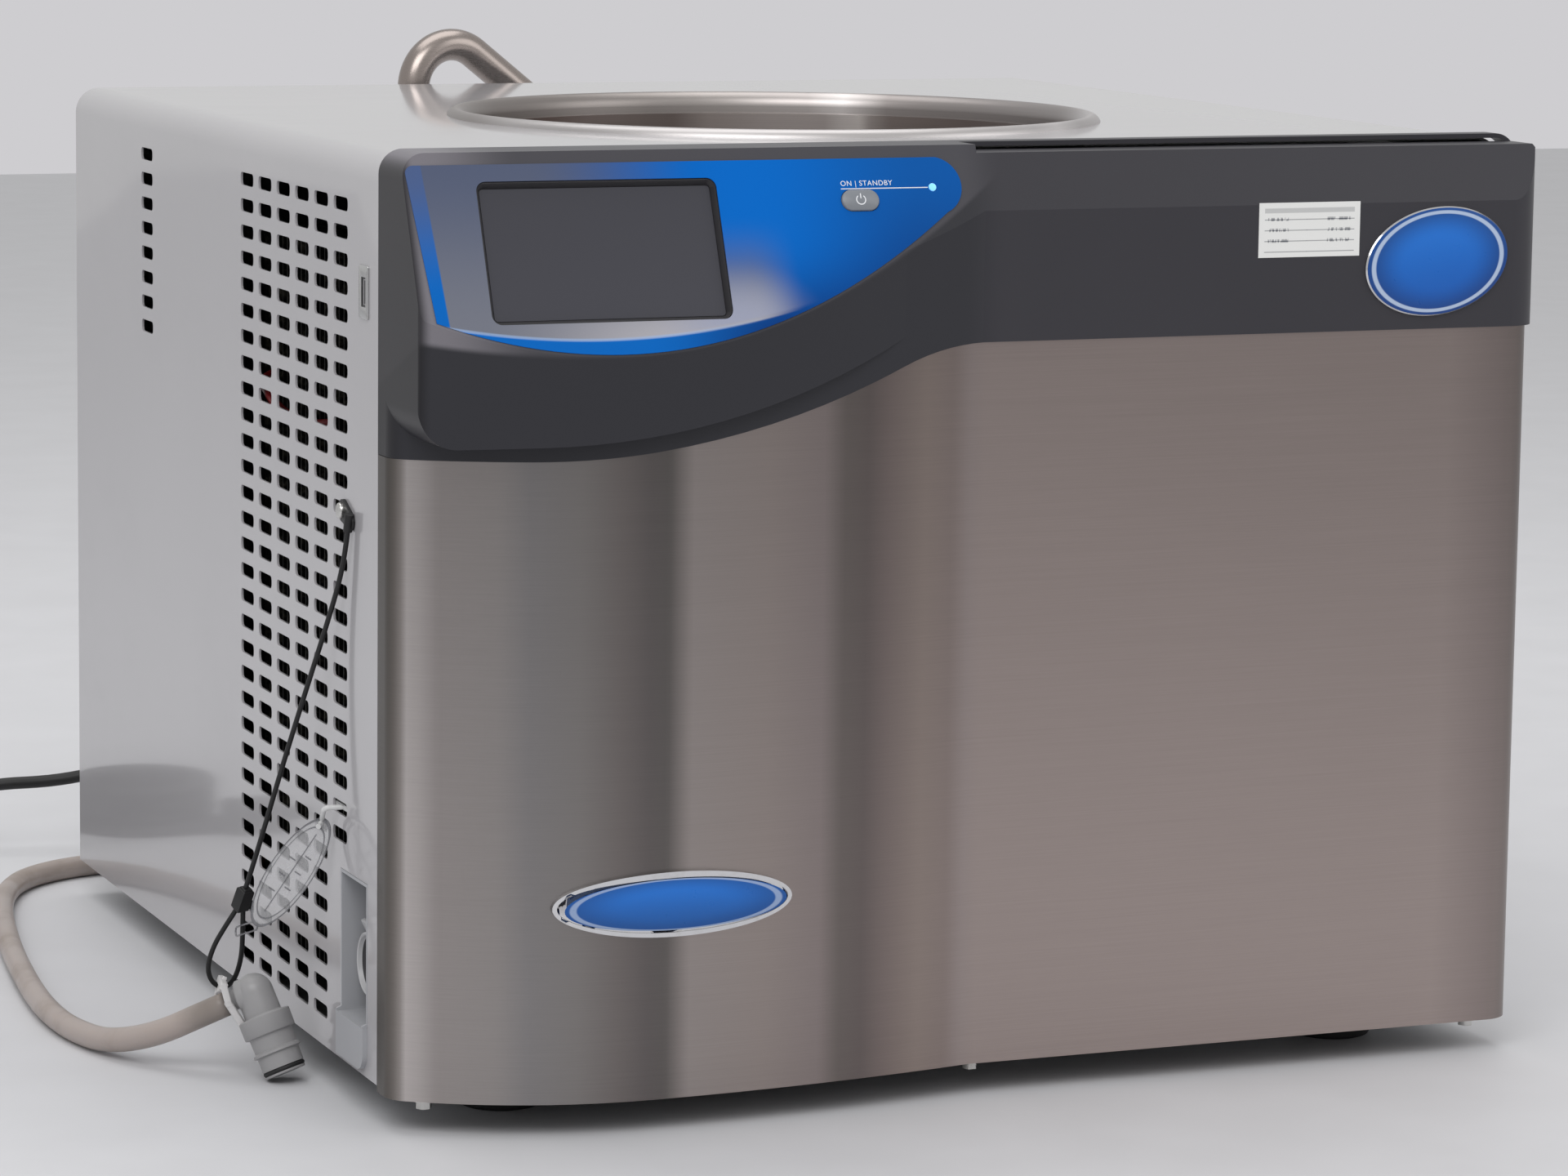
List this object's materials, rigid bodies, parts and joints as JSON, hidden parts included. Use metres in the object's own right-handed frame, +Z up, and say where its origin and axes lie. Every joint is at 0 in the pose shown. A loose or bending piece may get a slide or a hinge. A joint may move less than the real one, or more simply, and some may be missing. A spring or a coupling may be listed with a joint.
{
  "type": "freeze dryer",
  "caption": "Benchtop freeze dryer: open steel chamber, bulged steel front, tilted touch screen, vented side, drain hose with plug on a lanyard, rear vacuum tube",
  "frame": {"origin": "under the middle of the machine, on the bench, cords left out", "axes": "+Z up out of the chamber mouth, +Y to the rear (the front faces -Y), +X to the operator's right"},
  "size_m": [0.7981, 0.8843, 0.5059],
  "materials": {
    "paint": "light grey gloss powder coat",
    "steel": "brushed stainless, horizontal grain",
    "bezel": "dark grey fine texture",
    "zinc_sheet": "zinc-coated sheet",
    "zinc_fastener": "bright zinc",
    "rubber": "black",
    "overlay_film": "printed film, satin",
    "black_plastic": "black",
    "screen_glass": "dark screen behind an antiglare face",
    "button_grey": "grey",
    "led": "lit pale blue",
    "circuit_board": "green",
    "badge_blue": "domed blue",
    "label_white": "white",
    "chrome": "bright rim",
    "usb_steel": "bright",
    "light_plastic": "light grey",
    "foam": "black foam",
    "coil_aluminium": "mill",
    "plant_black": "black",
    "copper": "copper",
    "cord_black": "black",
    "plug_grey": "grey",
    "hose": "translucent, aged",
    "tag_clear": "clear"
  },
  "bodies": {
    "machine": {"base_pan": "zinc_sheet", "breaker_body": "black_plastic", "cabinet_shell": "paint", "chamber_collar": "steel", "chamber_stand": "zinc_sheet", "collector_pot": "steel", "compressor_high": "plant_black", "compressor_low": "plant_black", "condenser_coil": "coil_aluminium", "control_bezel": "bezel", "control_board": "circuit_board", "display_glass": "screen_glass", "display_module": "black_plastic", "drain_coupling": "light_plastic", "drain_hose": "hose", "drain_line": "light_plastic", "drain_plug": "plug_grey", "drain_plug_oring": "rubber", "drain_recess": "light_plastic", "evaporator_coil": "steel", "fan_motor": "plant_black", "fan_shroud": "zinc_sheet", "filter_drier": "copper", "foot_front_left": "rubber", "foot_front_right": "rubber", "foot_rear_left": "rubber", "foot_rear_right": "rubber", "front_badge": "chrome", "front_panel": "steel", "heat_exchanger": "foam", "inspection_label": "label_white", "insulation": "foam", "lanyard_cable": "cord_black", "lanyard_clip": "cord_black", "lanyard_crimp": "cord_black", "lanyard_screw": "zinc_fastener", "liquid_line": "copper", "overlay": "overlay_film", "panel_screws": "zinc_fastener", "power_connector": "cord_black", "power_cord": "cord_black", "power_cord_coil": "cord_black", "power_inlet": "black_plastic", "power_plug": "cord_black", "power_supply": "zinc_sheet", "product_badge": "badge_blue", "rear_panel": "zinc_sheet", "status_led": "led", "suction_line": "copper", "tag": "tag_clear", "tag_strap": "label_white", "usb_plate": "usb_steel", "usb_socket": "usb_steel", "vacuum_gland": "rubber", "vacuum_tube": "steel"},
    "button": {"power_button": "button_grey"},
    "fan": {"fan_rotor": "coil_aluminium"},
    "latch": {"drain_latch": "usb_steel"},
    "rocker": {"breaker_rocker": "black_plastic"}
  },
  "joints": [
    {"name": "power_button_press", "type": "slide", "parent": "machine", "child": "button", "axis": [0, 0.9239, -0.3827], "range_m": [0, 0.0012], "stiffness_N_per_m": 300, "springref_m": -0.0006},
    {"name": "fan_spin", "type": "hinge", "parent": "machine", "child": "fan", "pos_m": [-0.257, -0.12776, 0.225], "axis": [1, 0, 0], "continuous": true},
    {"name": "drain_latch_press", "type": "slide", "parent": "machine", "child": "latch", "axis": [0, 0, -1], "range_m": [0, 0.003], "stiffness_N_per_m": 300, "springref_m": -0.001},
    {"name": "breaker_rocker_tilt", "type": "hinge", "parent": "machine", "child": "rocker", "pos_m": [-0.165, 0.28844, 0.062], "axis": [1, 0, 0], "range_deg": [0, 24]}
  ]
}
